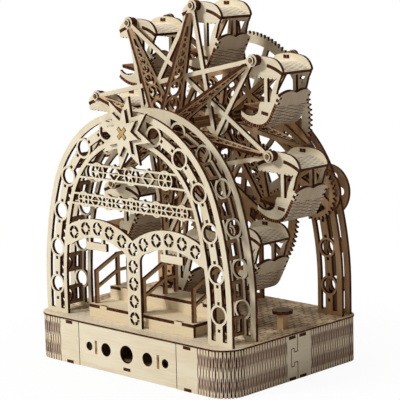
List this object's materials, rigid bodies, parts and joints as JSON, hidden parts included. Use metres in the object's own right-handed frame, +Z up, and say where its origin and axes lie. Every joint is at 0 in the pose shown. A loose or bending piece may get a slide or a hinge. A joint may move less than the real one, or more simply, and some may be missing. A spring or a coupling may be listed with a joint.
{
  "type": "crank ferris wheel toy",
  "caption": "Laser-cut plywood ferris wheel turned by a geared hand crank, with swinging gondolas between decorated arches on a base with a drawer.",
  "frame": {"origin": "underside of the base, on the centre line between the side walls, 94.9 mm behind the outer face of the front wall", "axes": "+Z up, -Y towards the decorated front, +X to the right seen from the front; the wheel's axis runs along Y"},
  "size_m": [0.2652, 0.1938, 0.3316],
  "materials": {
    "axle_caps": "laser-cut birch plywood, pale faces, burnt brown edges",
    "base_deck": "laser-cut birch plywood, pale faces, burnt brown edges",
    "base_floor": "laser-cut birch plywood, pale faces, burnt brown edges",
    "base_frame": "laser-cut birch plywood, pale faces, burnt brown edges",
    "base_ribs": "laser-cut birch plywood, pale faces, burnt brown edges",
    "crank_disc": "laser-cut birch plywood, pale faces, burnt brown edges",
    "crank_gear": "laser-cut birch plywood, pale faces, burnt brown edges",
    "crank_knob": "laser-cut birch plywood, pale faces, burnt brown edges",
    "crank_shaft": "laser-cut birch plywood, pale faces, burnt brown edges",
    "crank_wheel": "laser-cut birch plywood, pale faces, burnt brown edges",
    "drawer_floor": "laser-cut birch plywood, pale faces, burnt brown edges",
    "drawer_front": "laser-cut birch plywood, pale faces, burnt brown edges",
    "drawer_sides": "laser-cut birch plywood, pale faces, burnt brown edges",
    "front_arch": "laser-cut birch plywood, pale faces, burnt brown edges",
    "front_arms": "laser-cut birch plywood, pale faces, burnt brown edges",
    "front_frame": "laser-cut birch plywood, pale faces, burnt brown edges",
    "front_fretwork": "laser-cut birch plywood, pale faces, burnt brown edges",
    "front_left_wall": "laser-cut birch plywood, pale faces, burnt brown edges",
    "front_right_wall": "laser-cut birch plywood, pale faces, burnt brown edges",
    "front_spacers": "laser-cut birch plywood, pale faces, burnt brown edges",
    "gear_posts": "laser-cut birch plywood, pale faces, burnt brown edges",
    "gondola_1_seat": "laser-cut birch plywood, pale faces, burnt brown edges",
    "gondola_1_sides": "laser-cut birch plywood, pale faces, burnt brown edges",
    "gondola_2_seat": "laser-cut birch plywood, pale faces, burnt brown edges",
    "gondola_2_sides": "laser-cut birch plywood, pale faces, burnt brown edges",
    "gondola_3_seat": "laser-cut birch plywood, pale faces, burnt brown edges",
    "gondola_3_sides": "laser-cut birch plywood, pale faces, burnt brown edges",
    "gondola_4_seat": "laser-cut birch plywood, pale faces, burnt brown edges",
    "gondola_4_sides": "laser-cut birch plywood, pale faces, burnt brown edges",
    "gondola_5_seat": "laser-cut birch plywood, pale faces, burnt brown edges",
    "gondola_5_sides": "laser-cut birch plywood, pale faces, burnt brown edges",
    "gondola_6_seat": "laser-cut birch plywood, pale faces, burnt brown edges",
    "gondola_6_sides": "laser-cut birch plywood, pale faces, burnt brown edges",
    "gondola_7_seat": "laser-cut birch plywood, pale faces, burnt brown edges",
    "gondola_7_sides": "laser-cut birch plywood, pale faces, burnt brown edges",
    "gondola_8_seat": "laser-cut birch plywood, pale faces, burnt brown edges",
    "gondola_8_sides": "laser-cut birch plywood, pale faces, burnt brown edges",
    "gondola_pins": "laser-cut birch plywood, pale faces, burnt brown edges",
    "hub_discs": "laser-cut birch plywood, pale faces, burnt brown edges",
    "lay_gear": "laser-cut birch plywood, pale faces, burnt brown edges",
    "lay_pinion": "laser-cut birch plywood, pale faces, burnt brown edges",
    "lay_shaft": "laser-cut birch plywood, pale faces, burnt brown edges",
    "lower_step": "laser-cut birch plywood, pale faces, burnt brown edges",
    "pin_clips": "laser-cut birch plywood, pale faces, burnt brown edges",
    "railings": "laser-cut birch plywood, pale faces, burnt brown edges",
    "rear_arch": "laser-cut birch plywood, pale faces, burnt brown edges",
    "rear_arms": "laser-cut birch plywood, pale faces, burnt brown edges",
    "rear_frame": "laser-cut birch plywood, pale faces, burnt brown edges",
    "rear_left_wall": "laser-cut birch plywood, pale faces, burnt brown edges",
    "rear_right_wall": "laser-cut birch plywood, pale faces, burnt brown edges",
    "rear_spacers": "laser-cut birch plywood, pale faces, burnt brown edges",
    "second_arch": "laser-cut birch plywood, pale faces, burnt brown edges",
    "sign_boards": "laser-cut birch plywood, pale faces, burnt brown edges",
    "star": "laser-cut birch plywood, pale faces, burnt brown edges",
    "table_leg": "laser-cut birch plywood, pale faces, burnt brown edges",
    "table_top": "laser-cut birch plywood, pale faces, burnt brown edges",
    "third_arch": "laser-cut birch plywood, pale faces, burnt brown edges",
    "upper_step": "laser-cut birch plywood, pale faces, burnt brown edges",
    "wheel_axle": "laser-cut birch plywood, pale faces, burnt brown edges",
    "wheel_gear": "laser-cut birch plywood, pale faces, burnt brown edges"
  },
  "bodies": {
    "base": {"base_floor": "base_floor", "base_frame": "base_frame", "base_deck": "base_deck", "base_ribs": "base_ribs", "front_left_wall": "front_left_wall", "front_right_wall": "front_right_wall", "rear_left_wall": "rear_left_wall", "rear_right_wall": "rear_right_wall", "front_arch": "front_arch", "second_arch": "second_arch", "third_arch": "third_arch", "rear_arch": "rear_arch", "gear_posts": "gear_posts", "front_spacers": "front_spacers", "rear_spacers": "rear_spacers", "front_fretwork": "front_fretwork", "sign_boards": "sign_boards", "lower_step": "lower_step", "upper_step": "upper_step", "railings": "railings", "table_leg": "table_leg", "table_top": "table_top"},
    "drawer": {"drawer_front": "drawer_front", "drawer_floor": "drawer_floor", "drawer_sides": "drawer_sides"},
    "wheel": {"wheel_axle": "wheel_axle", "front_frame": "front_frame", "rear_frame": "rear_frame", "front_arms": "front_arms", "rear_arms": "rear_arms", "hub_discs": "hub_discs", "star": "star", "axle_caps": "axle_caps", "gondola_pins": "gondola_pins", "pin_clips": "pin_clips", "wheel_gear": "wheel_gear"},
    "lay": {"lay_gear": "lay_gear", "lay_pinion": "lay_pinion", "lay_shaft": "lay_shaft"},
    "crank": {"crank_gear": "crank_gear", "crank_disc": "crank_disc", "crank_wheel": "crank_wheel", "crank_shaft": "crank_shaft", "crank_knob": "crank_knob"},
    "gondola_1": {"gondola_1_sides": "gondola_1_sides", "gondola_1_seat": "gondola_1_seat"},
    "gondola_2": {"gondola_2_sides": "gondola_2_sides", "gondola_2_seat": "gondola_2_seat"},
    "gondola_3": {"gondola_3_sides": "gondola_3_sides", "gondola_3_seat": "gondola_3_seat"},
    "gondola_4": {"gondola_4_sides": "gondola_4_sides", "gondola_4_seat": "gondola_4_seat"},
    "gondola_5": {"gondola_5_sides": "gondola_5_sides", "gondola_5_seat": "gondola_5_seat"},
    "gondola_6": {"gondola_6_sides": "gondola_6_sides", "gondola_6_seat": "gondola_6_seat"},
    "gondola_7": {"gondola_7_sides": "gondola_7_sides", "gondola_7_seat": "gondola_7_seat"},
    "gondola_8": {"gondola_8_sides": "gondola_8_sides", "gondola_8_seat": "gondola_8_seat"}
  },
  "joints": [
    {"name": "drawer_slide", "type": "slide", "parent": "base", "child": "drawer", "axis": [0, -1, 0], "range_m": [0, 0.09]},
    {"name": "wheel_spin", "type": "hinge", "parent": "base", "child": "wheel", "pos_m": [0, 0.0067, 0.2187], "axis": [0, 1, 0], "continuous": true},
    {"name": "lay_spin", "type": "hinge", "parent": "base", "child": "lay", "pos_m": [0, 0.0656, 0.1302], "axis": [0, 1, 0], "continuous": true},
    {"name": "crank_spin", "type": "hinge", "parent": "base", "child": "crank", "pos_m": [0.0898, 0.0766, 0.1544], "axis": [0, 1, 0], "continuous": true},
    {"name": "gondola_1_swing", "type": "hinge", "parent": "wheel", "child": "gondola_1", "pos_m": [0.10753, 0.0067, 0.19858], "axis": [0, 1, 0], "continuous": true},
    {"name": "gondola_2_swing", "type": "hinge", "parent": "wheel", "child": "gondola_2", "pos_m": [0.09027, 0.0067, 0.28051], "axis": [0, 1, 0], "continuous": true},
    {"name": "gondola_3_swing", "type": "hinge", "parent": "wheel", "child": "gondola_3", "pos_m": [0.02012, 0.0067, 0.32623], "axis": [0, 1, 0], "continuous": true},
    {"name": "gondola_4_swing", "type": "hinge", "parent": "wheel", "child": "gondola_4", "pos_m": [-0.06181, 0.0067, 0.30897], "axis": [0, 1, 0], "continuous": true},
    {"name": "gondola_5_swing", "type": "hinge", "parent": "wheel", "child": "gondola_5", "pos_m": [-0.10753, 0.0067, 0.23882], "axis": [0, 1, 0], "continuous": true},
    {"name": "gondola_6_swing", "type": "hinge", "parent": "wheel", "child": "gondola_6", "pos_m": [-0.09027, 0.0067, 0.15689], "axis": [0, 1, 0], "continuous": true},
    {"name": "gondola_7_swing", "type": "hinge", "parent": "wheel", "child": "gondola_7", "pos_m": [-0.02012, 0.0067, 0.11117], "axis": [0, 1, 0], "continuous": true},
    {"name": "gondola_8_swing", "type": "hinge", "parent": "wheel", "child": "gondola_8", "pos_m": [0.06181, 0.0067, 0.12843], "axis": [0, 1, 0], "continuous": true}
  ],
  "couplings": [
    {"joint": "lay_spin", "follows": "wheel_spin", "ratio": -7.4286},
    {"joint": "crank_spin", "follows": "wheel_spin", "ratio": 21.357},
    {"joint": "gondola_1_swing", "follows": "wheel_spin", "ratio": -1},
    {"joint": "gondola_2_swing", "follows": "wheel_spin", "ratio": -1},
    {"joint": "gondola_3_swing", "follows": "wheel_spin", "ratio": -1},
    {"joint": "gondola_4_swing", "follows": "wheel_spin", "ratio": -1},
    {"joint": "gondola_5_swing", "follows": "wheel_spin", "ratio": -1},
    {"joint": "gondola_6_swing", "follows": "wheel_spin", "ratio": -1},
    {"joint": "gondola_7_swing", "follows": "wheel_spin", "ratio": -1},
    {"joint": "gondola_8_swing", "follows": "wheel_spin", "ratio": -1}
  ]
}
